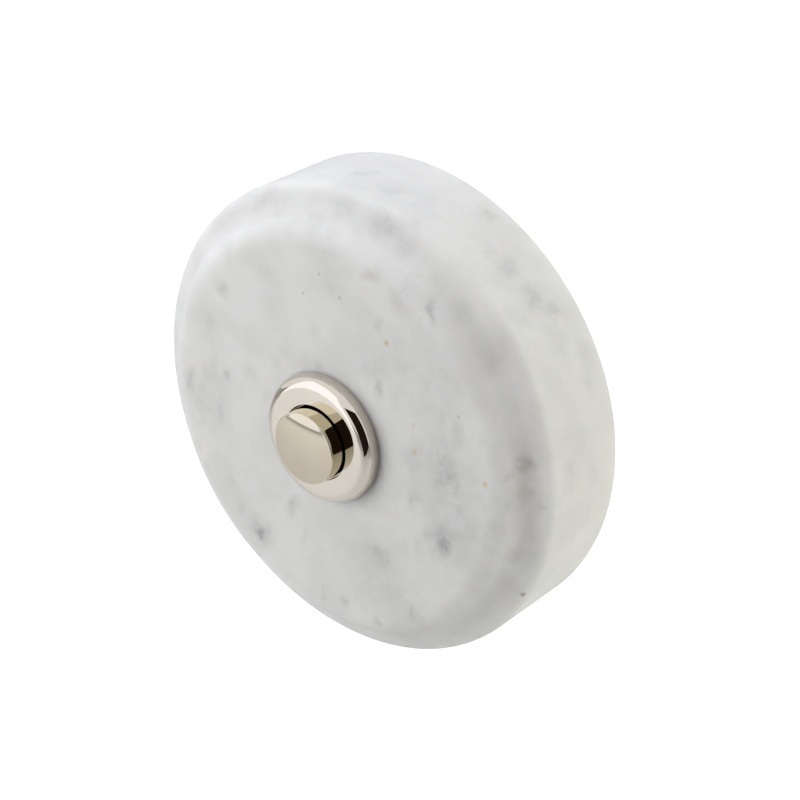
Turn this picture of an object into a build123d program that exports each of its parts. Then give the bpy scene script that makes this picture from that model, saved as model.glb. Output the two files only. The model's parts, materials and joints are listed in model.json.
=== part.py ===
from build123d import *
import os
from math import cos, radians, sin, sqrt

# A round bell push for a doorway. A turned marble rose with a coved edge is clamped to the wall by a
# nickel bezel, whose barrel screws into a hidden wall plate. A sprung button in the bezel carries a
# brass disc that bridges two contacts when it is pressed.
# Sizes are in millimetres. The wall is the plane Y = 0, the front faces -Y and +Z is up. Every height
# is counted out from the wall, and every radius from the axis of the button.

# Marble rose
marble_radius = 40.0
marble_height = 22.1
bead_radius = 4.0
cove_radius = 6.9
cove_turn = 56.0
land_slope = 24.0
land_length = 0.95
rim_round = 2.2
back_ease = 0.6

# Flange of the bezel, and its soft gasket in a recess
flange_overlap = 2.5
flange_height = 2.9
flange_round = 1.8
gasket_inset = 0.2
gasket_lip = 0.8
gasket_height = 0.6
gasket_clearance = 0.1

# Push button
button_radius = 6.0
button_gap = 0.36
button_stand_out = 2.65
dome_rise = 0.35
button_edge_break = 0.15
skirt_length = 5.65
skirt_wall = 1.1
crown_thickness = 1.25
press_travel = 1.5
stop_clearance = 0.2

# Stem, its guide in the bezel's web and its clip
stem_radius = 2.5
guide_clearance = 0.05
web_thickness = 1.8
groove_depth = 0.7
groove_play = 0.04
stem_land = 0.8
clip_thickness = 0.8
clip_band = 2.4
clip_mouth = 3.2
clip_relief_radius = 0.9
clip_relief_angle = 20.0
push_fit = 0.02

# Return spring
wire_radius = 0.35
spring_turns = 4.5
spring_clearance = 0.05

# Insulating bush on the stem's end, with the contact bridge on its neck
pin_radius = 1.5
bush_wall = 0.5
bush_collar = 0.6
bush_collar_height = 1.5
bush_lip = 0.3
lip_clearance = 0.3
floor_clearance = 0.2
bridge_thickness = 0.6

# Contact studs, with their nuts and washers
stud_radius = 1.0
contact_head_radius = 1.3
contact_head_height = 0.6
stud_nut_height = 1.2
terminal_nut_height = 1.6
nut_across_flats = 4.0
washer_radius = 2.1
washer_thickness = 0.4
stud_tail = 0.6

# Insulating base in the barrel's rear seat, and its circlip
bridge_clearance = 1.15
base_ledge = 0.35
base_clearance = 0.05
base_thickness = 2.5
terminal_bar_width = 5.0
terminal_bar_clearance = 0.45
terminal_bar_stand_out = 0.4
circlip_thickness = 0.8
circlip_band = 1.3
circlip_groove_depth = 0.5
circlip_gap = 3.0
circlip_lug_radius = 1.0
circlip_lug_hole_radius = 0.5
barrel_tail = 0.7
barrel_wall = 0.75

# Wall plate in the marble's pocket
thread_clearance = 0.05
thread_lead = 0.5
thread_engagement = 5.3
bore_clearance = 0.3
boss_wall = 3.0
boss_headroom = 1.0
plate_thickness = 2.0
plate_margin = 3.75
plate_clearance = 1.0
screw_hole_radius = 2.25
screw_head_radius = 4.0
screw_head_clearance = 1.0

QUARTER_TURN = 90.0
HALF_TURN = 180.0
HEX_SIDES = 6
HEX_FLATS_TO_X = 30.0

# Heights of the button and of the bezel's inner web
flange_face = marble_height + flange_height
button_edge = flange_face + button_stand_out
skirt_back = button_edge - skirt_length
hollow_ceiling = button_edge - crown_thickness
web_front = skirt_back - press_travel - stop_clearance
web_back = web_front - web_thickness

# Heights along the stem, behind the web
clip_back = web_back - clip_thickness
stem_shoulder = clip_back - stem_land
collar_back = stem_shoulder - bush_collar_height
bridge_back = collar_back - bridge_thickness
lip_height = contact_head_height - floor_clearance
plunger_end = bridge_back - lip_height

# Heights of the contacts and their base, which the bridge reaches at the end of its travel
contact_face = bridge_back - press_travel
base_front = contact_face - contact_head_height
base_back = base_front - base_thickness
circlip_back = base_back - circlip_thickness
barrel_end = circlip_back - barrel_tail
terminal_bar_back = barrel_end - terminal_bar_stand_out
stud_nut_back = terminal_bar_back - stud_nut_height
washer_back = stud_nut_back - washer_thickness
terminal_nut_back = washer_back - terminal_nut_height
stud_end = terminal_nut_back - stud_tail

# Radii from the bush outwards: contacts, chamber, seat, groove, barrel and thread
neck_radius = pin_radius + bush_wall
lip_radius = neck_radius + bush_lip
contact_offset = lip_radius + lip_clearance + contact_head_radius
bridge_radius = contact_offset + contact_head_radius
chamber_radius = bridge_radius + bridge_clearance
seat_radius = chamber_radius + base_ledge
circlip_groove_radius = seat_radius + circlip_groove_depth
circlip_outer_radius = circlip_groove_radius - base_clearance
circlip_inner_radius = circlip_outer_radius - circlip_band
button_bore_radius = button_radius + button_gap
barrel_radius = max(circlip_groove_radius, button_bore_radius) + barrel_wall
thread_radius = barrel_radius + thread_clearance

# Radii of the stone's bore, the flange and the gasket's recess
marble_bore_radius = thread_radius + bore_clearance
flange_radius = marble_bore_radius + flange_overlap
recess_inner_radius = marble_bore_radius + gasket_inset
recess_outer_radius = flange_radius - gasket_lip

# Wall plate and the pocket round it
boss_radius = thread_radius + boss_wall
boss_height = barrel_end + thread_engagement
screw_offset = boss_radius + screw_head_clearance + screw_head_radius
plate_radius = screw_offset + screw_hole_radius + plate_margin
pocket_radius = plate_radius + plate_clearance
pocket_depth = boss_height + boss_headroom

# Radius at which the flat face of the stone turns into its edge moulding
cove_reach = (bead_radius + cove_radius) * sin(radians(cove_turn)) - cove_radius * sin(radians(land_slope))
land_reach = land_length * cos(radians(land_slope))
rim_reach = rim_round * (1 - sin(radians(land_slope)))
face_radius = marble_radius - cove_reach - land_reach - rim_reach

TURNING_PLANE = Plane(origin=(0, 0, 0), x_dir=(1, 0, 0), z_dir=(0, 0, -1))


def turned(outline):
    """Turn a closed outline, drawn as radius and height, about the axis of the button."""
    return revolve(TURNING_PLANE * make_face(outline), axis=Axis.Y)


def prism(section, low, high):
    """Carry a section, drawn in X and Z, from one height to another."""
    plane = Plane(origin=(0, -low, 0), x_dir=(1, 0, 0), z_dir=(0, -1, 0))
    return extrude(plane * section, amount=high - low)


def marble_rose():
    """The stone: flat face, bead, cove, sloping land and rounded rim, with a bore and a rear pocket."""
    face_edge = (face_radius, marble_height)
    bead = JernArc(face_edge, (1, 0), bead_radius, -cove_turn)
    cove = JernArc(bead @ 1, bead % 1, cove_radius, cove_turn - land_slope)
    land = Line(cove @ 1, (cove @ 1) + (cove % 1) * land_length)
    rim = JernArc(land @ 1, land % 1, rim_round, land_slope - QUARTER_TURN)
    side_and_back = Polyline(
        rim @ 1,
        (marble_radius, back_ease),
        (marble_radius - back_ease, 0),
        (pocket_radius, 0),
        (pocket_radius, pocket_depth),
        (marble_bore_radius, pocket_depth),
        (marble_bore_radius, marble_height),
        face_edge,
    )
    return turned([bead, cove, land, rim, side_and_back])


def bezel():
    """Flange with a rounded edge, and a barrel with the button's bore, a guide web and a rear seat."""
    edge = JernArc(
        (flange_radius, flange_face - flange_round), (0, 1), flange_round, QUARTER_TURN
    )
    front_and_inside = Polyline(
        edge @ 1,
        (button_bore_radius, flange_face),
        (button_bore_radius, web_front),
        (stem_radius + guide_clearance, web_front),
        (stem_radius + guide_clearance, web_back),
        (chamber_radius, web_back),
        (chamber_radius, base_front),
        (seat_radius, base_front),
        (seat_radius, base_back),
        (circlip_groove_radius, base_back),
        (circlip_groove_radius, circlip_back - groove_play),
        (seat_radius, circlip_back - groove_play),
        (seat_radius, barrel_end),
    )
    barrel_and_underside = Polyline(
        (seat_radius, barrel_end),
        (barrel_radius - thread_lead, barrel_end),
        (barrel_radius, barrel_end + thread_lead),
        (barrel_radius, marble_height),
        (recess_inner_radius, marble_height),
        (recess_inner_radius, marble_height + gasket_height),
        (recess_outer_radius, marble_height + gasket_height),
        (recess_outer_radius, marble_height),
        (flange_radius, marble_height),
        edge @ 0,
    )
    return turned([edge, front_and_inside, barrel_and_underside])


def bezel_gasket():
    """Soft ring in the recess under the flange, between metal and stone."""
    ring = Circle(recess_outer_radius - gasket_clearance) - Circle(recess_inner_radius + gasket_clearance)
    return prism(ring, marble_height, marble_height + gasket_height)


def push_button():
    """Domed hollow head and stem, with a groove for the clip and a thin pin for the bush."""
    groove_radius = stem_radius - groove_depth
    dome = TangentArc(
        (0, button_edge + dome_rise),
        (button_radius - button_edge_break, button_edge),
        tangent=(1, 0),
    )
    skirt_and_stem = Polyline(
        dome @ 1,
        (button_radius, button_edge - button_edge_break),
        (button_radius, skirt_back),
        (button_radius - skirt_wall, skirt_back),
        (button_radius - skirt_wall, hollow_ceiling),
        (stem_radius, hollow_ceiling),
        (stem_radius, web_back + groove_play),
        (groove_radius, web_back + groove_play),
        (groove_radius, clip_back),
        (stem_radius, clip_back),
        (stem_radius, stem_shoulder),
        (pin_radius, stem_shoulder),
        (pin_radius, plunger_end),
        (0, plunger_end),
        dome @ 0,
    )
    return turned([dome, skirt_and_stem])


def return_spring():
    """Coil between the bezel's web and the ceiling of the hollow head."""
    coil_radius = (stem_radius + button_radius - skirt_wall) / 2
    end_room = wire_radius + spring_clearance
    coil_height = hollow_ceiling - web_front - 2 * end_room
    path = Helix(
        pitch=coil_height / spring_turns,
        height=coil_height,
        radius=coil_radius,
        center=(0, -web_front - end_room, 0),
        direction=(0, -1, 0),
    )
    section = Plane(origin=path @ 0, z_dir=path % 0) * Circle(wire_radius)
    return sweep(section, path=path, is_frenet=True)


def stem_clip():
    """Open clip that grips the stem's groove and bears on the back of the web."""
    grip_radius = stem_radius - groove_depth + push_fit
    outer_radius = grip_radius + clip_band
    mouth = Pos(0, -outer_radius) * Rectangle(clip_mouth, 2 * outer_radius)
    reliefs = PolarLocations(
        grip_radius + clip_relief_radius / 2,
        2,
        start_angle=clip_relief_angle,
        angular_range=HALF_TURN - 2 * clip_relief_angle,
        endpoint=True,
    )
    section = Circle(outer_radius) - Circle(grip_radius) - mouth - reliefs * Circle(clip_relief_radius)
    return prism(section, clip_back, web_back)


def plunger_bush():
    """Insulating bush on the stem's pin: a collar, a neck for the bridge and a lip that traps it."""
    return turned(
        Polyline(
            (pin_radius + push_fit, plunger_end),
            (lip_radius, plunger_end),
            (lip_radius, bridge_back),
            (neck_radius, bridge_back),
            (neck_radius, collar_back),
            (neck_radius + bush_collar, collar_back),
            (neck_radius + bush_collar, stem_shoulder),
            (pin_radius + push_fit, stem_shoulder),
            close=True,
        )
    )


def contact_bridge():
    """Brass disc on the bush's neck, wide enough to cover both contact heads."""
    return prism(Circle(bridge_radius) - Circle(neck_radius + push_fit), bridge_back, collar_back)


def contact_base():
    """Insulating disc in the barrel's seat, with a bar on its back that carries both terminals."""
    bar_length = 2 * (circlip_inner_radius - terminal_bar_clearance)
    disc = prism(Circle(seat_radius - base_clearance), base_back, base_front)
    bar = prism(SlotOverall(bar_length, terminal_bar_width), terminal_bar_back, base_back)
    hole = Circle(stud_radius + push_fit)
    holes = Pos(-contact_offset, 0) * hole + Pos(contact_offset, 0) * hole
    return disc + bar - prism(holes, terminal_bar_back, base_front)


def base_circlip():
    """Sprung ring in the barrel's groove behind the base, with two eyed lugs at its gap."""
    lug_x = circlip_gap / 2 + circlip_lug_radius
    lug_y = -sqrt(circlip_inner_radius**2 - lug_x**2)
    gap = Pos(0, -circlip_outer_radius) * Rectangle(circlip_gap, 2 * circlip_outer_radius)
    section = Circle(circlip_outer_radius) - Circle(circlip_inner_radius)
    for x in (-lug_x, lug_x):
        section += Pos(x, lug_y) * Circle(circlip_lug_radius)
    section -= gap
    for x in (-lug_x, lug_x):
        section -= Pos(x, lug_y) * Circle(circlip_lug_hole_radius)
    return prism(section, circlip_back, base_back)


def contact_stud(x):
    """Headed stud: the head is the fixed contact, and the shank takes the nuts behind the base."""
    head = prism(Pos(x, 0) * Circle(contact_head_radius), base_front, contact_face)
    shank = prism(Pos(x, 0) * Circle(stud_radius), stud_end, base_front)
    return head + shank


def hex_nut(x, low, high):
    """Hexagon nut on a stud, with two flats square to X so that the pair clears in the middle."""
    hexagon = RegularPolygon(
        nut_across_flats / 2, HEX_SIDES, major_radius=False, rotation=HEX_FLATS_TO_X
    )
    return prism(Pos(x, 0) * (hexagon - Circle(stud_radius + push_fit)), low, high)


def terminal_washer(x):
    """Plain washer that a bell wire is clamped under."""
    ring = Circle(washer_radius) - Circle(stud_radius + push_fit)
    return prism(Pos(x, 0) * ring, washer_back, stud_nut_back)


def wall_plate():
    """Round plate with a threaded boss for the barrel and two holes for wall screws."""
    plate = turned(
        Polyline(
            (thread_radius, 0),
            (plate_radius, 0),
            (plate_radius, plate_thickness),
            (boss_radius, plate_thickness),
            (boss_radius, boss_height),
            (thread_radius + thread_lead, boss_height),
            (thread_radius, boss_height - thread_lead),
            close=True,
        )
    )
    hole = Circle(screw_hole_radius)
    holes = Pos(-screw_offset, 0) * hole + Pos(screw_offset, 0) * hole
    return plate - prism(holes, 0, plate_thickness)


pieces = {
    "marble_rose": marble_rose(),
    "bezel": bezel(),
    "bezel_gasket": bezel_gasket(),
    "push_button": push_button(),
    "return_spring": return_spring(),
    "stem_clip": stem_clip(),
    "plunger_bush": plunger_bush(),
    "contact_bridge": contact_bridge(),
    "contact_base": contact_base(),
    "base_circlip": base_circlip(),
    "wall_plate": wall_plate(),
}
for side, x in (("left", -contact_offset), ("right", contact_offset)):
    pieces[f"contact_stud_{side}"] = contact_stud(x)
    pieces[f"stud_nut_{side}"] = hex_nut(x, stud_nut_back, terminal_bar_back)
    pieces[f"terminal_washer_{side}"] = terminal_washer(x)
    pieces[f"terminal_nut_{side}"] = hex_nut(x, terminal_nut_back, washer_back)

os.makedirs("parts", exist_ok=True)
for node, shape in pieces.items():
    export_step(shape, f"parts/{node}.step")
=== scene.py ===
import json
from math import ceil, cos, pi, radians, sin, tan

import bmesh
import bpy
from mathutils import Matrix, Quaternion, Vector


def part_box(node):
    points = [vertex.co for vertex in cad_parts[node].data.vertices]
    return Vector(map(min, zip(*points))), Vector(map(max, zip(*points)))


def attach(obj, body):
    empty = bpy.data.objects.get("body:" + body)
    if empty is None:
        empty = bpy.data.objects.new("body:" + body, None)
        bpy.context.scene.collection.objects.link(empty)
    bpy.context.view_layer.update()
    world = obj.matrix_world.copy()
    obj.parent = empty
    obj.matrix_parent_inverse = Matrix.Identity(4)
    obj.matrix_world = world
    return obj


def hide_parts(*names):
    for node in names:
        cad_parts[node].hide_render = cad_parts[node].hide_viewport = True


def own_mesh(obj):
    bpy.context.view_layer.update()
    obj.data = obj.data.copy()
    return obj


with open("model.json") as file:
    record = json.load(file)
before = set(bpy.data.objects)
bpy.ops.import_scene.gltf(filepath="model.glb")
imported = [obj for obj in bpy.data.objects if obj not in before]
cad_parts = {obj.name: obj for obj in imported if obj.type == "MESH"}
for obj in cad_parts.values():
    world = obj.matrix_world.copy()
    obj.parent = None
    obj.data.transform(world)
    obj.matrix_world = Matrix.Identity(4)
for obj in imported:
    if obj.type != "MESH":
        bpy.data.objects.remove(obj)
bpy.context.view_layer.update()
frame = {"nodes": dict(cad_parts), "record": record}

# A round bell push: a coved marble rose, a polished nickel bezel and a sprung button, with its contacts
# and wall plate behind. Heights are counted out from the wall along -Y, and radii from the button's axis.

MM = 0.001
SMOOTH_ANGLE = radians(25)

# Facets round a turned piece
SEGMENTS = 240
NUT_SEGMENTS = 96
WASHER_SEGMENTS = 64
STUD_SEGMENTS = 48
DRILL_SEGMENTS = 64

# Stone
BEAD_RADIUS = 4.0 * MM
COVE_RADIUS = 6.9 * MM
COVE_TURN = 56.0
LAND_SLOPE = 24.0
LAND_LENGTH = 0.95 * MM
RIM_ROUND = 2.2 * MM
BACK_EASE = 0.6 * MM
PLATE_CLEARANCE = 1.0 * MM
BOSS_HEADROOM = 1.0 * MM
MARBLE_BORE_RADIUS = 8.3 * MM
NECK_CLEARANCE = 0.2 * MM

# Bezel
FLANGE_ROUND = 1.8 * MM
BORE_EDGE_BREAK = 0.05 * MM
BUTTON_GAP = 0.36 * MM
GUIDE_RADIUS = 2.55 * MM
GASKET_CLEARANCE = 0.1 * MM
BRIDGE_CLEARANCE = 1.15 * MM
SEAT_CLEARANCE = 0.05 * MM
BARREL_RADIUS = 7.95 * MM
THREAD_RADIUS = 8.0 * MM
THREAD_LEAD = 0.5 * MM
THREAD_PITCH = 1.0 * MM
THREAD_DEPTH = 0.4 * MM
THREAD_STEPS = 8
THREAD_STOP = 2.0 * MM
GROOVE_STEEPNESS = 1.6
GROOVE_OFFSET = 0.3

# Button and spring
BUTTON_EDGE_BREAK = 0.15 * MM
BUTTON_EDGE_START = 80.0
DOME_RISE = 0.35 * MM
SKIRT_WALL = 1.1 * MM
SKIRT_ABOVE_SPRING_FOOT = 1.65 * MM
SPRING_CLEARANCE = 0.05 * MM
STEM_RADIUS = 2.5 * MM
GROOVE_DEPTH = 0.7 * MM
PIN_RADIUS = 1.5 * MM
WIRE_RADIUS = 0.35 * MM
COIL_RADIUS = 3.7 * MM
COIL_TURNS = 4.5
CLOSED_TURNS = 0.75

# Terminals and wall plate
STUD_RADIUS = 1.0 * MM
STUD_PITCH = 0.4 * MM
STUD_THREAD_DEPTH = 0.2 * MM
HEAD_ROUND = 0.2 * MM
STUD_CLEARANCE = 0.02 * MM
NUT_CHAMFER_SLOPE = 30.0
NUT_CHAMFER_START = 0.97
SMALL_EASE = 0.1 * MM
PLATE_THICKNESS = 2.0 * MM
PLATE_EASE = 0.3 * MM
BOSS_RADIUS = 11.0 * MM
SCREW_OFFSET = 16.0 * MM
SCREW_HOLE_RADIUS = 2.25 * MM

# Camera of the photograph
PHOTO_WIDTH = 800
FOCAL_PIXELS = 1994.8
SENSOR_WIDTH = 36.0
CAMERA_AZIMUTH = 39.871
CAMERA_ELEVATION = 27.7
CAMERA_DISTANCE = 315.78 * MM
CAMERA_TARGET = Vector((5.952, -11.325, 4.043)) * MM
CLIP_START = 10.0 * MM

record = frame["record"]
slot_of = {row["node"]: row["material_slot"] for row in record["subparts"]}
body_of = {node: body for body, nodes in record["behaviour"]["bodies"].items() for node in nodes}


# Mesh helpers


def heights(node):
    """Lowest and highest height of a node, out from the wall."""
    low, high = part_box(node)
    return -high.y, -low.y


def radius_of(node):
    """Outer radius of a round node about the button's axis."""
    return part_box(node)[1].x


def half_width(node):
    """Half the width of a node that stands beside the button's axis."""
    low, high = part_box(node)
    return (high.x - low.x) / 2


def arc(centre, radius, start, end, steps=12):
    """Points of an arc as radius and height, from one angle to another in degrees."""
    angles = [radians(start + (end - start) * k / steps) for k in range(steps + 1)]
    return [(centre[0] + radius * cos(a), centre[1] + radius * sin(a)) for a in angles]


def thread_run(radius, start, end, pitch, depth):
    """Rings of a thread on a cylinder as radius, height and depth of cut, which fades in at both ends."""
    count = ceil(abs(end - start) / pitch * THREAD_STEPS)
    rings = []
    for k in range(count + 1):
        fade = min(1.0, min(k, count - k) / THREAD_STEPS)
        rings.append((radius, start + (end - start) * k / count, depth * fade))
    return rings


def groove(height, turn, pitch):
    """Depth of a vee thread's groove, from 0 on the crest to 1 at the root."""
    phase = (height / pitch - turn / (2 * pi)) % 1.0
    return min(1.0, max(0.0, GROOVE_STEEPNESS * abs(2 * phase - 1) - GROOVE_OFFSET))


def hexagon_radius(flat, turn):
    """Radius of a hexagon with two flats square to X."""
    sixth = pi / 3
    return flat / cos((turn + sixth / 2) % sixth - sixth / 2)


def finish_mesh(name, builder):
    """A mesh object made from a bmesh, with smooth faces and sharp real corners."""
    bmesh.ops.recalc_face_normals(builder, faces=builder.faces)
    mesh = bpy.data.meshes.new(name)
    builder.to_mesh(mesh)
    builder.free()
    mesh.shade_smooth()
    mesh.set_sharp_from_angle(angle=SMOOTH_ANGLE)
    piece = bpy.data.objects.new(name, mesh)
    bpy.context.scene.collection.objects.link(piece)
    return piece


def lathe(name, outline, closed=True, segments=SEGMENTS, x=0.0, pitch=THREAD_PITCH, flat=None):
    """A piece turned from rings of radius and height, about the button's axis or one beside it.

    A ring's third number is the depth of a thread's cut, and flat keeps the rings inside a hexagon.
    """
    builder = bmesh.new()
    turns = [2 * pi * k / segments for k in range(segments)]
    rings = []
    for radius, height, *cut in outline:
        if radius == 0:
            rings.append([builder.verts.new((x, -height, 0))])
            continue
        ring = []
        for turn in turns:
            reach = min(radius, hexagon_radius(flat, turn)) if flat else radius
            if cut:
                reach -= cut[0] * groove(height, turn, pitch)
            ring.append(builder.verts.new((x + reach * cos(turn), -height, reach * sin(turn))))
        rings.append(ring)
    pairs = list(zip(rings, rings[1:]))
    if closed:
        pairs.append((rings[-1], rings[0]))
    for first, second in pairs:
        for k in range(segments):
            following = (k + 1) % segments
            corners = [
                first[k % len(first)],
                first[following % len(first)],
                second[following % len(second)],
                second[k % len(second)],
            ]
            builder.faces.new(list(dict.fromkeys(corners)))
    return finish_mesh(name, builder)


# Levels shared by the pieces

marble_radius = radius_of("marble_rose")
marble_height = heights("marble_rose")[1]
flange_radius = radius_of("bezel")
barrel_end, flange_face = heights("bezel")
button_radius = radius_of("push_button")
plunger_end, dome_top = heights("push_button")
spring_foot, spring_head = heights("return_spring")
clip_back, web_back = heights("stem_clip")
circlip_back, base_back = heights("base_circlip")
base_front = heights("contact_base")[1]
plate_radius = radius_of("wall_plate")
boss_height = heights("wall_plate")[1]


# Outlines and meshes of the pieces


def stone_outline():
    """Face, bead, cove, land, rim, side, back, pocket and bore of the stone."""
    bead_end = 90 - COVE_TURN
    slope = radians(LAND_SLOPE)
    both = BEAD_RADIUS + COVE_RADIUS
    cove_reach = both * sin(radians(COVE_TURN)) - COVE_RADIUS * sin(slope)
    rim_reach = RIM_ROUND * (1 - sin(slope))
    face_radius = marble_radius - cove_reach - LAND_LENGTH * cos(slope) - rim_reach
    bead_centre = (face_radius, marble_height - BEAD_RADIUS)
    bead = arc(bead_centre, BEAD_RADIUS, 90, bead_end, steps=24)
    cove_centre = (
        bead_centre[0] + both * cos(radians(bead_end)),
        bead_centre[1] + both * sin(radians(bead_end)),
    )
    cove = arc(cove_centre, COVE_RADIUS, 180 + bead_end, 270 - LAND_SLOPE, steps=32)
    land_end = (cove[-1][0] + LAND_LENGTH * cos(slope), cove[-1][1] - LAND_LENGTH * sin(slope))
    rim_centre = (land_end[0] - RIM_ROUND * sin(slope), land_end[1] - RIM_ROUND * cos(slope))
    rim = arc(rim_centre, RIM_ROUND, 90 - LAND_SLOPE, 0)
    pocket_radius = plate_radius + PLATE_CLEARANCE
    pocket_depth = boss_height + BOSS_HEADROOM
    back = [
        (marble_radius, BACK_EASE),
        (marble_radius - BACK_EASE, 0),
        (pocket_radius, 0),
        (pocket_radius, pocket_depth),
        (MARBLE_BORE_RADIUS, pocket_depth),
        (MARBLE_BORE_RADIUS, marble_height),
    ]
    return bead + cove[1:] + rim + back


def bezel_outline():
    """Rounded flange with its gasket recess, and a threaded barrel round the bore, the web and the seat."""
    bore_radius = button_radius + BUTTON_GAP
    web_front = spring_foot - SPRING_CLEARANCE
    chamber_radius = radius_of("contact_bridge") + BRIDGE_CLEARANCE
    seat_radius = radius_of("contact_base") + SEAT_CLEARANCE
    groove_radius = radius_of("base_circlip") + SEAT_CLEARANCE
    recess_roof = heights("bezel_gasket")[1]
    recess_radius = radius_of("bezel_gasket") + GASKET_CLEARANCE
    neck_radius = MARBLE_BORE_RADIUS + NECK_CLEARANCE
    edge_centre = (flange_radius - FLANGE_ROUND, flange_face - FLANGE_ROUND)
    edge = arc(edge_centre, FLANGE_ROUND, 0, 90, steps=24)
    inside = [
        (bore_radius + BORE_EDGE_BREAK, flange_face),
        (bore_radius, flange_face - BORE_EDGE_BREAK),
        (bore_radius, web_front),
        (GUIDE_RADIUS, web_front),
        (GUIDE_RADIUS, web_back),
        (chamber_radius, web_back),
        (chamber_radius, base_front),
        (seat_radius, base_front),
        (seat_radius, base_back),
        (groove_radius, base_back),
        (groove_radius, circlip_back),
        (seat_radius, circlip_back),
        (seat_radius, barrel_end),
        (BARREL_RADIUS - THREAD_LEAD, barrel_end),
    ]
    thread_start, thread_end = barrel_end + THREAD_LEAD, marble_height - THREAD_STOP
    thread = thread_run(BARREL_RADIUS, thread_start, thread_end, THREAD_PITCH, THREAD_DEPTH)
    underside = [
        (BARREL_RADIUS, marble_height),
        (neck_radius, marble_height),
        (neck_radius, recess_roof),
        (recess_radius, recess_roof),
        (recess_radius, marble_height),
        (flange_radius, marble_height),
    ]
    return edge + inside + thread + underside


def button_outline():
    """Domed head with a broken edge, hollow skirt, and stem with its clip groove and pin."""
    edge_radius = button_radius - BUTTON_EDGE_BREAK
    edge_level = dome_top - DOME_RISE - BUTTON_EDGE_BREAK
    dome_radius = (edge_radius**2 + DOME_RISE**2) / (2 * DOME_RISE)
    steps = 24
    dome = []
    for k in range(steps + 1):
        reach = edge_radius * k / steps
        dome.append((reach, dome_top - dome_radius + (dome_radius**2 - reach**2) ** 0.5))
    edge = arc((edge_radius, edge_level), BUTTON_EDGE_BREAK, BUTTON_EDGE_START, 0, steps=6)
    skirt_back = spring_foot + SKIRT_ABOVE_SPRING_FOOT
    ceiling = spring_head + SPRING_CLEARANCE
    shoulder = heights("plunger_bush")[1]
    stem = [
        (button_radius, skirt_back),
        (button_radius - SKIRT_WALL, skirt_back),
        (button_radius - SKIRT_WALL, ceiling),
        (STEM_RADIUS, ceiling),
        (STEM_RADIUS, web_back),
        (STEM_RADIUS - GROOVE_DEPTH, web_back),
        (STEM_RADIUS - GROOVE_DEPTH, clip_back),
        (STEM_RADIUS, clip_back),
        (STEM_RADIUS, shoulder),
        (PIN_RADIUS, shoulder),
        (PIN_RADIUS, plunger_end),
        (0, plunger_end),
    ]
    return dome + edge + stem


def spring_coil(name):
    """A round wire wound in a coil with a closed end at the web and at the button."""
    sides, steps = 12, 48
    low, high = spring_foot + WIRE_RADIUS, spring_head - WIRE_RADIUS
    closed_rise = CLOSED_TURNS * 2 * WIRE_RADIUS
    open_pitch = (high - low - 2 * closed_rise) / (COIL_TURNS - 2 * CLOSED_TURNS)
    builder = bmesh.new()
    rings = []
    for k in range(round(COIL_TURNS * steps) + 1):
        turned = k / steps
        left = COIL_TURNS - turned
        if turned < CLOSED_TURNS:
            height = low + turned * 2 * WIRE_RADIUS
        elif left < CLOSED_TURNS:
            height = high - left * 2 * WIRE_RADIUS
        else:
            height = low + closed_rise + (turned - CLOSED_TURNS) * open_pitch
        turn = 2 * pi * turned
        ring = []
        for side in range(sides):
            around = 2 * pi * side / sides
            reach = COIL_RADIUS + WIRE_RADIUS * cos(around)
            level = height + WIRE_RADIUS * sin(around)
            ring.append(builder.verts.new((reach * cos(turn), -level, reach * sin(turn))))
        rings.append(ring)
    for first, second in zip(rings, rings[1:]):
        for side in range(sides):
            following = (side + 1) % sides
            builder.faces.new((first[side], first[following], second[following], second[side]))
    builder.faces.new(rings[0])
    builder.faces.new(rings[-1])
    return finish_mesh(name, builder)


def plate_outline():
    """Wall plate with eased edges and a boss threaded inside."""
    thread_start = boss_height - THREAD_LEAD
    thread = thread_run(THREAD_RADIUS, thread_start, PLATE_EASE, THREAD_PITCH, -THREAD_DEPTH)
    outside = [
        (THREAD_RADIUS + PLATE_EASE, 0),
        (plate_radius - PLATE_EASE, 0),
        (plate_radius, PLATE_EASE),
        (plate_radius, PLATE_THICKNESS - PLATE_EASE),
        (plate_radius - PLATE_EASE, PLATE_THICKNESS),
        (BOSS_RADIUS, PLATE_THICKNESS),
        (BOSS_RADIUS, boss_height - PLATE_EASE),
        (BOSS_RADIUS - PLATE_EASE, boss_height),
        (THREAD_RADIUS + THREAD_LEAD, boss_height),
    ]
    return thread + outside


def drill(piece, x, low, high, radius, ease):
    """Drill a hole with eased edges through a plate, along the button's axis."""
    bit = lathe(
        "bit",
        [
            (0, low - ease),
            (radius + 2 * ease, low - ease),
            (radius, low + ease),
            (radius, high - ease),
            (radius + 2 * ease, high + ease),
            (0, high + ease),
        ],
        closed=False,
        segments=DRILL_SEGMENTS,
        x=x,
    )
    cut = piece.modifiers.new("hole", "BOOLEAN")
    cut.operation = "DIFFERENCE"
    cut.object = bit
    graph = bpy.context.evaluated_depsgraph_get()
    mesh = bpy.data.meshes.new_from_object(piece.evaluated_get(graph))
    piece.modifiers.clear()
    piece.data = mesh
    bpy.data.objects.remove(bit)


def stud_outline(node):
    """Headed stud with a fine thread behind the base."""
    end, face = heights(node)
    head_radius = half_width(node)
    bar_back = heights("contact_base")[0]
    thread = thread_run(STUD_RADIUS, bar_back, end + SMALL_EASE, STUD_PITCH, STUD_THREAD_DEPTH)
    return [
        (0, face),
        *arc((head_radius - HEAD_ROUND, face - HEAD_ROUND), HEAD_ROUND, 90, 0, steps=6),
        (head_radius, base_front),
        (STUD_RADIUS, base_front),
        *thread,
        (STUD_RADIUS - SMALL_EASE, end),
        (0, end),
    ]


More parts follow.
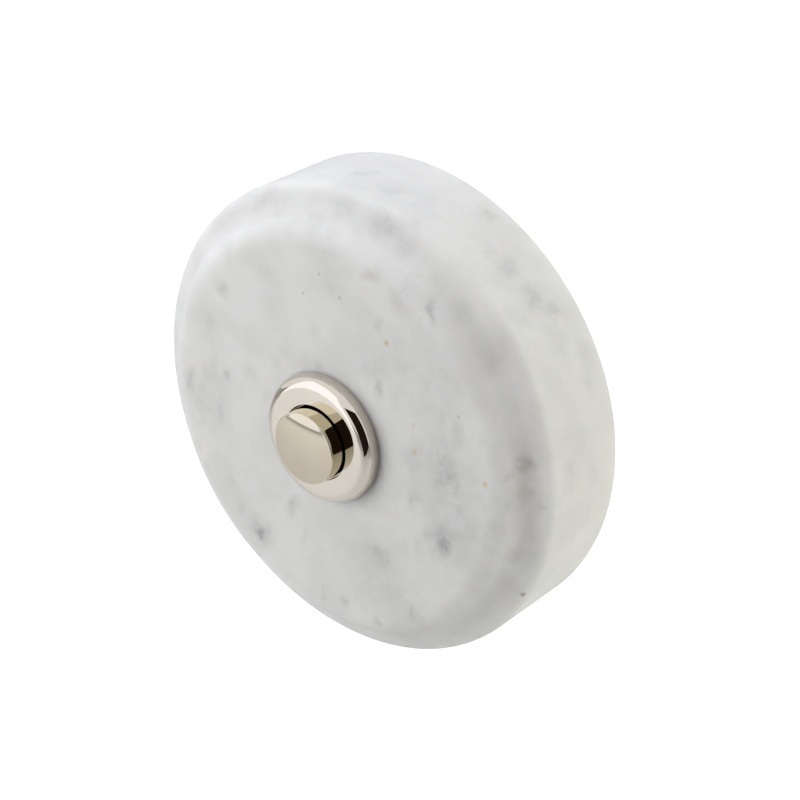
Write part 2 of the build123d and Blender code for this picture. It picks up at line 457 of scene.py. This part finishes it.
def nut_outline(node):
    """Nut with a hole eased at both ends and chamfered corners, before its flats are cut."""
    low, high = heights(node)
    flat = half_width(node)
    corner = flat / cos(pi / 6)
    hole = STUD_RADIUS + STUD_CLEARANCE
    ease = 2 * SMALL_EASE
    start = NUT_CHAMFER_START * flat
    steps = 6
    reaches = [start + (corner - start) * k / steps for k in range(steps + 1)]
    drop = tan(radians(NUT_CHAMFER_SLOPE))
    top = [(reach, high - (reach - start) * drop) for reach in reaches]
    bottom = [(reach, low + (reach - start) * drop) for reach in reversed(reaches)]
    bore = [(hole + ease, low), (hole, low + ease), (hole, high - ease), (hole + ease, high)]
    return bore + top + bottom, flat


def washer_outline(node):
    """Flat washer with eased edges."""
    low, high = heights(node)
    radius = half_width(node)
    hole = STUD_RADIUS + STUD_CLEARANCE
    return [
        (hole + SMALL_EASE, low),
        (hole, low + SMALL_EASE),
        (hole, high - SMALL_EASE),
        (hole + SMALL_EASE, high),
        (radius - SMALL_EASE, high),
        (radius, high - SMALL_EASE),
        (radius, low + SMALL_EASE),
        (radius - SMALL_EASE, low),
    ]


# Materials


class Shader:
    """A procedural material in the object's own millimetres, round one Principled shader."""

    def __init__(self, name):
        self.material = bpy.data.materials.new(name)
        self.material.use_nodes = True
        self.tree = self.material.node_tree
        self.surface = self.tree.nodes["Principled BSDF"]
        place = self.node("ShaderNodeTexCoord").outputs["Object"]
        self.place = self.vector("SCALE", place, Scale=1 / MM)

    def node(self, kind, inputs=None, **settings):
        """A new node, with its settings made and its sockets fed."""
        made = self.tree.nodes.new(kind)
        for key, value in settings.items():
            setattr(made, key, value)
        for key, value in (inputs or {}).items():
            self.feed(made.inputs[key], value)
        return made

    def feed(self, socket, value):
        """Link a socket to another, or give it a constant."""
        if isinstance(value, bpy.types.NodeSocket):
            self.tree.links.new(value, socket)
        else:
            socket.default_value = value

    def vector(self, operation, first, second=None, **named):
        """Vector arithmetic."""
        inputs = {0: first, **named}
        if second is not None:
            inputs[1] = second
        made = self.node("ShaderNodeVectorMath", inputs, operation=operation)
        return made.outputs["Value" if operation == "LENGTH" else "Vector"]

    def math(self, operation, first, second):
        """Number arithmetic."""
        return self.node("ShaderNodeMath", {0: first, 1: second}, operation=operation).outputs["Value"]

    def noise(self, size, detail=2.0, roughness=0.5, stretch=None, shift=0.0, output="Fac"):
        """Noise of about the given size in millimetres, shifted so that no two are alike."""
        place = self.place
        if stretch:
            place = self.vector("DIVIDE", place, stretch)
        if shift:
            place = self.vector("ADD", place, (shift, shift, shift))
        inputs = {"Vector": place, "Scale": 1 / size, "Detail": detail, "Roughness": roughness}
        return self.node("ShaderNodeTexNoise", inputs).outputs[output]

    def ramp(self, value, low, high, start=0.0, end=1.0):
        """A smooth step of a value between two levels."""
        made = self.node(
            "ShaderNodeMapRange",
            {"Value": value, "From Min": low, "From Max": high, "To Min": start, "To Max": end},
            interpolation_type="SMOOTHSTEP",
        )
        return made.outputs["Result"]

    def mix(self, amount, first, second):
        """One colour over another."""
        made = self.node("ShaderNodeMix", {"Factor": amount}, data_type="RGBA")
        self.feed(made.inputs[6], first)
        self.feed(made.inputs[7], second)
        return made.outputs[2]

    def total(self, values):
        """Sum of several numbers."""
        result = values[0]
        for value in values[1:]:
            result = self.math("ADD", result, value)
        return result

    def marks(self, place, rows, spread=1.0):
        """Soft ellipsoids added up, each given by its middle, half lengths, lean and depth."""
        depths = []
        for middle, half, lean, depth in rows:
            offset = self.vector("SUBTRACT", place, middle)
            if lean:
                inputs = {"Vector": offset, "Angle": radians(lean)}
                turned = self.node("ShaderNodeVectorRotate", inputs, rotation_type="Y_AXIS")
                offset = turned.outputs["Vector"]
            size = [spread * length for length in half]
            reach = self.vector("LENGTH", self.vector("DIVIDE", offset, size))
            depths.append(self.ramp(reach, 0.0, 1.0, depth, 0.0))
        return self.total(depths)

    def set(self, **inputs):
        """Feed the Principled shader's sockets, named with underscores for spaces."""
        for key, value in inputs.items():
            self.feed(self.surface.inputs[key.replace("_", " ")], value)

    def bump(self, height, distance, strength=1.0):
        """Raise the surface by a height field, with its full step in millimetres."""
        inputs = {"Height": height, "Distance": distance * MM, "Strength": strength}
        made = self.node("ShaderNodeBump", inputs)
        self.feed(self.surface.inputs["Normal"], made.outputs["Normal"])


def grey(level):
    """A neutral colour."""
    return (level, level, level, 1.0)


# Where the stone's face is along Y, in millimetres
FACE = -22.1

# Marks in the stone, with painted shade among the brown ones, in millimetres: middle, half lengths, lean to
# the right in degrees, depth
GREY_MARKS = (
    # Broad clouds at the right of the face and below it
    ((25.0, FACE, -1.0), (9.0, 3.0, 15.0), 0, 0.13),
    ((10.0, FACE, -22.0), (13.0, 3.0, 8.0), 0, 0.11),
    ((19.0, FACE, 15.0), (8.0, 3.0, 8.0), 0, 0.08),
    ((25.0, FACE, -14.0), (6.0, 3.0, 8.0), 0, 0.06),
    # Lower left and lower middle of the face
    ((-15.6, FACE, -23.4), (3.0, 3.0, 3.4), -10, 0.30),
    ((-15.4, FACE, -23.9), (1.3, 2.0, 1.5), -20, 0.30),
    ((-20.0, FACE, -19.8), (1.4, 3.0, 2.6), 0, 0.12),
    ((-7.7, FACE, -15.8), (1.2, 3.0, 3.0), -24, 0.32),
    ((-5.4, FACE, -20.5), (1.0, 3.0, 2.6), 0, 0.10),
    ((10.9, FACE, -17.9), (3.0, 3.0, 2.4), 0, 0.20),
    ((10.2, FACE, -17.4), (1.0, 2.0, 1.2), -40, 0.18),
    ((12.0, FACE, -18.4), (1.2, 2.0, 0.9), 0, 0.16),
    ((8.0, FACE, -8.4), (2.6, 3.0, 2.6), 0, 0.14),
    # Lower right and right of the face
    ((23.9, FACE, -10.9), (1.2, 2.0, 1.7), -15, 0.48),
    ((22.8, FACE, -9.6), (3.0, 3.0, 4.2), -25, 0.22),
    ((24.0, FACE, 2.3), (2.6, 3.0, 4.2), -20, 0.16),
    ((23.2, FACE, 4.0), (0.9, 2.0, 1.4), -20, 0.20),
    ((23.9, FACE, 1.4), (1.1, 2.0, 1.3), 0, 0.20),
    ((26.2, FACE, -0.3), (0.8, 2.0, 1.6), -20, 0.16),
    ((26.3, FACE, -4.2), (0.6, 2.0, 1.8), -20, 0.10),
    ((17.8, FACE, -5.2), (1.5, 3.0, 3.0), -10, 0.16),
    ((17.4, FACE, -4.8), (0.7, 2.0, 0.9), 0, 0.10),
    ((25.9, FACE, 9.6), (1.4, 3.0, 3.2), 0, 0.15),
    ((22.9, FACE, 11.2), (0.9, 2.0, 0.9), 0, 0.11),
    ((30.2, FACE, 9.6), (0.8, 2.0, 1.8), 0, 0.10),
    ((18.4, FACE, 1.4), (0.8, 2.0, 1.2), -15, 0.12),
    # Upper middle and left of the face
    ((10.7, FACE, 11.9), (1.1, 2.0, 2.2), 0, 0.28),
    ((11.5, FACE, 16.4), (0.9, 2.0, 2.4), 0, 0.12),
    ((8.3, FACE, 14.0), (1.8, 2.0, 1.8), 0, 0.10),
    ((-21.6, FACE, 4.0), (1.1, 2.0, 1.7), -20, 0.28),
    ((-16.1, FACE, 5.5), (1.8, 2.0, 1.8), 0, 0.14),
    ((-23.5, FACE, -3.1), (0.9, 2.0, 2.6), 0, 0.18),
    ((-30.1, FACE, 0.1), (1.0, 2.0, 3.0), -10, 0.22),
    ((-21.8, FACE, 19.1), (1.7, 2.0, 1.7), 0, 0.22),
    ((-24.7, FACE, 12.3), (1.4, 2.0, 1.8), 0, 0.13),
    ((-2.3, FACE, 17.6), (1.3, 2.0, 2.0), 0, 0.12),
    ((-1.2, FACE, 11.8), (1.4, 2.0, 1.6), 0, 0.12),
    ((10.7, FACE, 22.6), (0.9, 2.0, 1.8), 0, 0.14),
    # Along the bead
    ((20.1, -21.6, 27.6), (0.6, 2.0, 2.2), 20, 0.30),
    ((-1.5, FACE, -30.2), (0.7, 2.0, 2.0), 0, 0.14),
    ((3.0, FACE, -29.6), (1.0, 2.0, 1.3), 0, 0.26),
    ((10.1, FACE, -30.9), (1.0, 2.0, 1.3), 0, 0.22),
    ((17.7, FACE, -26.0), (0.9, 2.0, 2.6), 0, 0.20),
    # In the cove, at the top and upper right
    ((8.5, -17.8, 36.7), (3.2, 2.4, 2.0), 0, 0.24),
    ((12.5, -18.2, 34.6), (3.2, 2.4, 1.8), 0, 0.16),
    ((1.0, -17.8, 37.6), (2.6, 2.4, 2.0), 0, 0.10),
    ((24.0, -18.1, 27.9), (2.4, 2.4, 3.2), 0, 0.08),
    ((27.4, -18.0, 23.6), (2.4, 2.4, 3.2), 0, 0.07),
    # On the side
    ((30.6, -7.0, 25.7), (4.0, 3.6, 12.0), -40, 0.13),
    ((24.7, -8.9, 31.4), (2.2, 2.4, 1.6), 0, 0.16),
    ((28.4, -7.6, 28.2), (1.8, 2.6, 2.0), 0, 0.14),
    ((31.0, -6.2, 25.3), (1.8, 2.0, 2.0), 0, 0.13),
    ((29.4, -8.6, 27.0), (1.2, 2.0, 1.4), 0, 0.12),
    ((33.6, -8.0, 21.7), (2.0, 3.0, 3.0), 0, 0.10),
    ((35.3, -3.6, 18.8), (2.0, 2.4, 2.6), 0, 0.12),
    ((22.0, -9.9, 33.4), (1.6, 2.0, 1.2), 0, 0.13),
    ((17.2, -3.8, 36.1), (2.0, 1.6, 1.0), 0, 0.18),
    ((-3.0, -10.8, 39.9), (1.6, 1.3, 1.0), 0, 0.18),
    ((-1.4, -9.4, 39.9), (1.6, 1.3, 1.0), 0, 0.18),
)
BROWN_MARKS_AND_COVE_SHADE = (
    # Painted shade: three broad bands along the right of the cove, where it turns away from the light
    ((36.3, -18.2, 2.0), (2.4, 2.6, 15.0), 0, 0.17),
    ((29.5, -18.4, 21.5), (2.6, 2.8, 8.0), -36, 0.11),
    ((33.5, -18.2, -15.5), (2.4, 2.6, 8.0), 24, 0.10),
    # Brown marks in the stone
    ((35.7, -18.5, 6.5), (1.8, 1.8, 1.6), 0, 0.40),
    ((33.8, -20.0, 4.6), (1.4, 1.4, 1.2), 0, 0.20),
    ((35.6, -18.4, 2.2), (1.6, 1.6, 3.0), 0, 0.20),
    ((38.2, -17.0, -0.6), (0.9, 0.9, 0.8), 0, 0.18),
    ((34.9, -18.6, -9.6), (2.0, 2.0, 1.8), 0, 0.20),
    ((9.6, FACE, 30.4), (2.6, 2.0, 1.5), 20, 0.24),
    ((15.0, FACE, 27.0), (1.6, 2.0, 3.0), 30, 0.10),
    ((35.3, -17.1, -17.5), (0.7, 0.8, 0.7), 0, 0.55),
)
YELLOW_SPECKS = (
    ((12.3, FACE, 20.1), (0.7, 0.7, 0.8), 0, 0.75),
    ((17.6, FACE, 8.0), (0.6, 0.6, 0.7), 0, 0.45),
    ((17.8, FACE, 3.4), (0.7, 0.7, 0.7), 0, 0.60),
    ((31.3, FACE, 2.8), (0.7, 0.7, 0.8), 0, 0.60),
)
PITS = (
    ((-4.4, FACE, 23.4), (0.45, 0.45, 0.45), 0, 1.0),
    ((-1.0, FACE, 27.5), (0.45, 0.45, 0.45), 0, 1.0),
    ((3.1, FACE, 24.8), (0.45, 0.45, 0.45), 0, 1.0),
    ((15.2, FACE, 29.2), (0.40, 0.40, 0.40), 0, 1.0),
    ((23.6, FACE, 22.9), (0.35, 0.35, 0.35), 0, 0.7),
    ((26.2, FACE, 12.4), (0.40, 0.40, 0.40), 0, 1.0),
    ((35.3, -17.1, -17.5), (0.60, 0.60, 0.60), 0, 1.0),
)

# How far the marks are spread out, how far their edges wander, and how much lighter and darker they get
MARK_SPREAD = 1.35
WANDER_SIZE = 2.6
WANDER_REACH = 3.0
MOTTLE_SIZE = 2.2
MOTTLE = (0.55, 1.40)

# Sizes in millimetres, levels of noise and depths of what runs all through the stone
CLOUD_SIZE = 9.0
CLOUD_DEPTH = 0.12
CLUSTER_SIZE = 11.0
CLUSTER_LEVELS = (0.42, 0.62)
WISP_SIZE = 4.2
WISP_STRETCH = (1.0, 1.0, 1.5)
WISP_LEVELS = (0.50, 0.74)
WISP_DEPTH = 0.13
GRAIN_SIZE = 0.7
GRAIN_DEPTH = 0.02
HONED = (0.38, 0.46)
PIT_TINT = 0.4
PIT_DEPTH = 0.12
PIT_STRENGTH = 0.6
SCATTER_REACH = 3.0 * MM
SCATTER_SHARES = (1.0, 0.95, 0.90)
MARBLE_WHITE = (0.88, 0.88, 0.87, 1.0)
MARBLE_GREY = (0.36, 0.36, 0.37, 1.0)
MARBLE_BROWN_AND_SHADE = (0.36, 0.30, 0.25, 1.0)
MARBLE_YELLOW = (0.70, 0.52, 0.18, 1.0)
PIT_BROWN = (0.30, 0.27, 0.24, 1.0)

# Levels of noise between which a tone or a fine grain changes over
SOFT = (0.35, 0.65)
FINE = (0.3, 0.7)

# How many grains go across a patch of tone
METAL_GRAINS = 12
SKIN_GRAINS = 8


def marble(name):
    """Honed white marble: pale clouds, wisps in clusters, grey and brown marks, painted shade along the
    right of the cove, specks and pits.
    """
    shader = Shader(name)
    wander = shader.noise(WANDER_SIZE, detail=4.0, roughness=0.65, output="Color")
    wander = shader.vector("SUBTRACT", wander, (0.5, 0.5, 0.5))
    place = shader.vector("ADD", shader.place, shader.vector("SCALE", wander, Scale=WANDER_REACH))
    mottle = shader.noise(MOTTLE_SIZE, detail=4.0, roughness=0.65, shift=80.0)
    mottle = shader.ramp(mottle, *FINE, *MOTTLE)
    clouds = shader.ramp(shader.noise(CLOUD_SIZE, detail=3.0), *SOFT, 0.0, CLOUD_DEPTH)
    clusters = shader.ramp(shader.noise(CLUSTER_SIZE, shift=60.0), *CLUSTER_LEVELS)
    wisps = shader.noise(WISP_SIZE, detail=3.0, roughness=0.55, stretch=WISP_STRETCH, shift=40.0)
    wisps = shader.math("MULTIPLY", clusters, shader.ramp(wisps, *WISP_LEVELS, 0.0, WISP_DEPTH))
    grain = shader.noise(GRAIN_SIZE, detail=3.0, roughness=0.6, shift=120.0)
    specks = shader.ramp(grain, *FINE, 0.0, GRAIN_DEPTH)
    grey_marks = shader.math("MULTIPLY", mottle, shader.marks(place, GREY_MARKS, MARK_SPREAD))
    greys = shader.total([clouds, wisps, specks, grey_marks])
    # Brown marks, and painted shade along the right of the cove
    browns_and_cove_shade = shader.marks(place, BROWN_MARKS_AND_COVE_SHADE, MARK_SPREAD)
    pits = shader.marks(shader.place, PITS)
    colour = shader.mix(greys, MARBLE_WHITE, MARBLE_GREY)
    colour = shader.mix(browns_and_cove_shade, colour, MARBLE_BROWN_AND_SHADE)
    colour = shader.mix(shader.marks(shader.place, YELLOW_SPECKS), colour, MARBLE_YELLOW)
    colour = shader.mix(shader.math("MULTIPLY", pits, PIT_TINT), colour, PIT_BROWN)
    shader.set(Base_Color=colour, Roughness=shader.ramp(grain, *FINE, *HONED))
    shader.set(Subsurface_Weight=1.0, Subsurface_Radius=SCATTER_SHARES, Subsurface_Scale=SCATTER_REACH)
    shader.bump(shader.math("MULTIPLY", pits, -1.0), PIT_DEPTH, PIT_STRENGTH)
    return shader.material


def metal(name, light, dark, patch, rough, shine, bump=0.0, edge=None):
    """Bare or plated metal whose tone and shine vary in soft patches, with a fine grain.

    An edge of its own tone comes in between two radii from the button's axis.
    """
    shader = Shader(name)
    tone = shader.noise(patch, detail=3.0)
    fine = shader.noise(patch / METAL_GRAINS, detail=3.0, roughness=0.6, shift=30.0)
    colour = shader.mix(shader.ramp(tone, *SOFT), light, dark)
    if edge:
        inner, outer, toned = edge
        across = shader.vector("LENGTH", shader.vector("MULTIPLY", shader.place, (1.0, 0.0, 1.0)))
        colour = shader.mix(shader.ramp(across, inner, outer), colour, toned)
    shader.set(Base_Color=colour, Metallic=1.0, Roughness=shader.ramp(fine, *FINE, shine, rough))
    if bump:
        shader.bump(fine, bump)
    return shader.material


def moulded(name, light, dark, patch, rough, shine, bump):
    """Moulded rubber or plastic with a soft mottle and a fine skin."""
    shader = Shader(name)
    tone = shader.noise(patch, detail=4.0, roughness=0.6)
    fine = shader.noise(patch / SKIN_GRAINS, detail=3.0, roughness=0.6, shift=30.0)
    colour = shader.mix(shader.ramp(tone, *SOFT), light, dark)
    shader.set(Base_Color=colour, Roughness=shader.ramp(fine, *FINE, shine, rough))
    shader.bump(fine, bump)
    return shader.material


# Light and dark tone, size of the patches in millimetres, highest and lowest roughness, bump in millimetres.
# An edge has two radii in millimetres and a tone.
METALS = {
    "polished_nickel": dict(
        light=(0.565, 0.508, 0.418, 1.0),
        dark=(0.548, 0.490, 0.402, 1.0),
        patch=6.0,
        rough=0.055,
        shine=0.035,
        edge=(5.75, 5.95, (0.60, 0.55, 0.40, 1.0)),
    ),
    "bezel_nickel": dict(
        light=(0.680, 0.628, 0.562, 1.0),
        dark=(0.660, 0.608, 0.542, 1.0),
        patch=6.0,
        rough=0.055,
        shine=0.035,
    ),
    "spring_steel": dict(
        light=(0.46, 0.46, 0.47, 1.0),
        dark=(0.38, 0.38, 0.39, 1.0),
        patch=2.0,
        rough=0.38,
        shine=0.24,
        bump=0.01,
    ),
    "plain_brass": dict(
        light=(0.76, 0.57, 0.26, 1.0),
        dark=(0.64, 0.46, 0.20, 1.0),
        patch=2.5,
        rough=0.38,
        shine=0.22,
        bump=0.01,
    ),
    "zinc_steel": dict(
        light=(0.64, 0.65, 0.67, 1.0),
        dark=(0.52, 0.53, 0.55, 1.0),
        patch=4.0,
        rough=0.48,
        shine=0.30,
        bump=0.02,
    ),
}
MOULDINGS = {
    "black_rubber": dict(
        light=grey(0.035),
        dark=grey(0.022),
        patch=2.0,
        rough=0.80,
        shine=0.60,
        bump=0.02,
    ),
    "white_nylon": dict(
        light=(0.82, 0.81, 0.77, 1.0),
        dark=(0.76, 0.75, 0.70, 1.0),
        patch=3.0,
        rough=0.50,
        shine=0.36,
        bump=0.01,
    ),
    "dark_phenolic": dict(
        light=(0.10, 0.06, 0.04, 1.0),
        dark=(0.06, 0.035, 0.025, 1.0),
        patch=2.0,
        rough=0.46,
        shine=0.30,
        bump=0.01,
    ),
}
materials = {"white_marble": marble("white_marble")}
for name, look in METALS.items():
    materials[name] = metal(name, **look)
for name, look in MOULDINGS.items():
    materials[name] = moulded(name, **look)


# The dressed pieces


def dress(piece, node, finish=None):
    """Put a piece in a node's place, on its body and in its slot's finish or one of its own."""
    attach(piece, body_of[node])
    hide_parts(node)
    piece.data.materials.clear()
    piece.data.materials.append(materials[finish or slot_of[node]])
    made_nodes.add(node)


made_nodes = set()
dress(lathe("stone_rose", stone_outline()), "marble_rose")
dress(lathe("bezel_shell", bezel_outline()), "bezel", "bezel_nickel")
dress(lathe("button_cap", button_outline(), closed=False), "push_button")

plate = lathe("plate_back", plate_outline())
for x in (-SCREW_OFFSET, SCREW_OFFSET):
    drill(plate, x, 0.0, PLATE_THICKNESS, SCREW_HOLE_RADIUS, PLATE_EASE)
plate.data.set_sharp_from_angle(angle=SMOOTH_ANGLE)
dress(plate, "wall_plate")

spring = spring_coil("coil_spring")
dress(spring, "return_spring")
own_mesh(spring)

for side in ("left", "right"):
    stud = f"contact_stud_{side}"
    x = (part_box(stud)[0].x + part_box(stud)[1].x) / 2
    outline = stud_outline(stud)
    turned = lathe(f"stud_{side}", outline, closed=False, segments=STUD_SEGMENTS, x=x, pitch=STUD_PITCH)
    dress(turned, stud)
    for kind in ("stud_nut", "terminal_nut"):
        outline, flat = nut_outline(f"{kind}_{side}")
        turned = lathe(f"{kind}_hex_{side}", outline, segments=NUT_SEGMENTS, x=x, flat=flat)
        dress(turned, f"{kind}_{side}")
    washer = f"terminal_washer_{side}"
    turned = lathe(f"washer_{side}", washer_outline(washer), segments=WASHER_SEGMENTS, x=x)
    dress(turned, washer)

for node, solid in frame["nodes"].items():
    if node not in made_nodes:
        solid.data.materials.clear()
        solid.data.materials.append(materials[slot_of[node]])


# Stage, light and camera

# Name, azimuth and elevation in degrees, width and height in metres, watts, colour
LAMPS = (
    ("front", -32.0, 13.0, 0.56, 0.74, 3.00, (1.0, 1.0, 0.98)),
    ("top_back", -135.0, 75.0, 0.55, 0.55, 2.05, (0.97, 1.0, 0.98)),
    ("left", -90.0, 42.0, 0.50, 0.50, 0.82, (0.72, 0.70, 1.0)),
    ("right_near", 88.0, 26.0, 0.25, 0.35, 1.18, (1.0, 0.96, 1.0)),
    ("right_low", 112.0, -8.0, 0.40, 0.30, 1.22, (0.97, 1.0, 0.78)),
    ("back", 180.0, 0.0, 0.45, 0.40, 1.15, (1.0, 0.98, 1.0)),
)
LAMP_DISTANCE = 0.6
# Painted reflections that only the metal shows, a glowing white panel standing in for a softbox and a dark
# card: name, azimuth and elevation, width and height, lean in degrees, colour, glow
CARDS = (
    # Painted reflection of a bright softbox: a sheet that glows but lights nothing
    ("bright_panel", -32.0, 13.35, 0.466, 0.648, 0.0, (0.98, 1.0, 1.06, 1.0), 1.50),
    # Painted dark reflection: a black sheet seen only in the metal
    ("dark_card", 46.0, 13.0, 0.66, 0.58, 20.0, (0.020, 0.012, 0.008, 1.0), 1.0),
)
CARD_DISTANCE = 0.5
# Strength of the white surroundings, as seen and in the metal, and as light on everything else
WORLD_SEEN = 1.0
WORLD_LEVEL = 0.02
# Floor: height and width in metres, its colour, and its glow as seen and in the metal
FLOOR_HEIGHT = -0.25
FLOOR_WIDTH = 6.0
FLOOR_COLOUR = 0.58
FLOOR_ROUGHNESS = 0.9
FLOOR_GLOW = 0.93
FLOOR_SHEEN = 0.32


def seen(tree, to_camera, in_metal, elsewhere=0.0):
    """A strength that differs for the camera, for metal and glass, and for all other light."""
    path = tree.nodes.new("ShaderNodeLightPath")
    strength = elsewhere
    rays = {"Is Glossy Ray": in_metal, "Is Transmission Ray": in_metal, "Is Camera Ray": to_camera}
    for ray, value in rays.items():
        chosen = tree.nodes.new("ShaderNodeMix")
        tree.links.new(path.outputs[ray], chosen.inputs["Factor"])
        if isinstance(strength, bpy.types.NodeSocket):
            tree.links.new(strength, chosen.inputs["A"])
        else:
            chosen.inputs["A"].default_value = strength
        chosen.inputs["B"].default_value = value
        strength = chosen.outputs["Result"]
    return strength


def make_world():
    """White surroundings that hardly light the object."""
    world = bpy.data.worlds.new("studio")
    world.use_nodes = True
    bpy.context.scene.world = world
    tree = world.node_tree
    background = tree.nodes["Background"]
    background.inputs["Color"].default_value = grey(1.0)
    strength = seen(tree, WORLD_SEEN, WORLD_SEEN, WORLD_LEVEL)
    tree.links.new(strength, background.inputs["Strength"])


def sheet(name, width, height):
    """A flat rectangle on the stage, in its own XY plane."""
    builder = bmesh.new()
    corners = [(-width, -height), (width, -height), (width, height), (-width, height)]
    builder.faces.new([builder.verts.new((x / 2, y / 2, 0)) for x, y in corners])
    made = finish_mesh(name, builder)
    material = bpy.data.materials.new(name)
    material.use_nodes = True
    made.data.materials.append(material)
    return made, material.node_tree


def make_floor():
    """A pale floor below the object, which shows white."""
    floor, tree = sheet("floor", FLOOR_WIDTH, FLOOR_WIDTH)
    floor.location.z = FLOOR_HEIGHT
    surface = tree.nodes["Principled BSDF"]
    surface.inputs["Base Color"].default_value = grey(FLOOR_COLOUR)
    surface.inputs["Roughness"].default_value = FLOOR_ROUGHNESS
    surface.inputs["Emission Color"].default_value = grey(1.0)
    strength = seen(tree, FLOOR_GLOW, FLOOR_SHEEN)
    tree.links.new(strength, surface.inputs["Emission Strength"])


def towards(azimuth, elevation):
    """Direction from the object, with azimuth 0 in front of it and 90 at its right."""
    turn, lift = radians(azimuth), radians(elevation)
    return Vector((sin(turn) * cos(lift), -cos(turn) * cos(lift), sin(lift)))


def aim(holder, direction, distance, target=Vector((0, 0, 0)), lean=0.0):
    """Stand something off in a direction and turn it to look back, with its top leaning to lower azimuth."""
    holder.location = target + direction * distance
    upright = (-direction).to_track_quat("-Z", "Y")
    holder.rotation_euler = (upright @ Quaternion((0, 0, 1), radians(lean))).to_euler()


def softbox(name, azimuth, elevation, width, height, watts, colour):
    """A rectangular area lamp that looks at the object and doesn't show in the metal."""
    lamp = bpy.data.lights.new(name, "AREA")
    lamp.shape = "RECTANGLE"
    lamp.size = width
    lamp.size_y = height
    lamp.energy = watts
    lamp.color = colour
    holder = bpy.data.objects.new(name, lamp)
    bpy.context.scene.collection.objects.link(holder)
    aim(holder, towards(azimuth, elevation), LAMP_DISTANCE)
    holder.visible_camera = False
    holder.visible_glossy = False


def card(name, azimuth, elevation, width, height, lean, colour, glow):
    """A flat card, a painted reflection that shows in the metal and neither lights nor shades the rest."""
    made, tree = sheet(name, width, height)
    aim(made, towards(azimuth, elevation), CARD_DISTANCE, lean=lean)
    surface = tree.nodes["Principled BSDF"]
    surface.inputs["Base Color"].default_value = grey(0.0)
    surface.inputs["Roughness"].default_value = 1.0
    surface.inputs["Specular IOR Level"].default_value = 0.0
    surface.inputs["Emission Color"].default_value = colour
    surface.inputs["Emission Strength"].default_value = glow
    made.visible_camera = made.visible_diffuse = made.visible_shadow = False


def make_camera():
    """The camera of the photograph."""
    camera = bpy.data.cameras.new("camera")
    camera.sensor_width = SENSOR_WIDTH
    camera.lens = FOCAL_PIXELS / PHOTO_WIDTH * SENSOR_WIDTH
    camera.clip_start = CLIP_START
    holder = bpy.data.objects.new("camera", camera)
    bpy.context.scene.collection.objects.link(holder)
    aim(holder, towards(CAMERA_AZIMUTH, CAMERA_ELEVATION), CAMERA_DISTANCE, CAMERA_TARGET)
    bpy.context.scene.camera = holder


make_world()
make_floor()
for row in LAMPS:
    softbox(*row)
for row in CARDS:
    card(*row)
make_camera()
bpy.context.scene.view_settings.view_transform = "Standard"
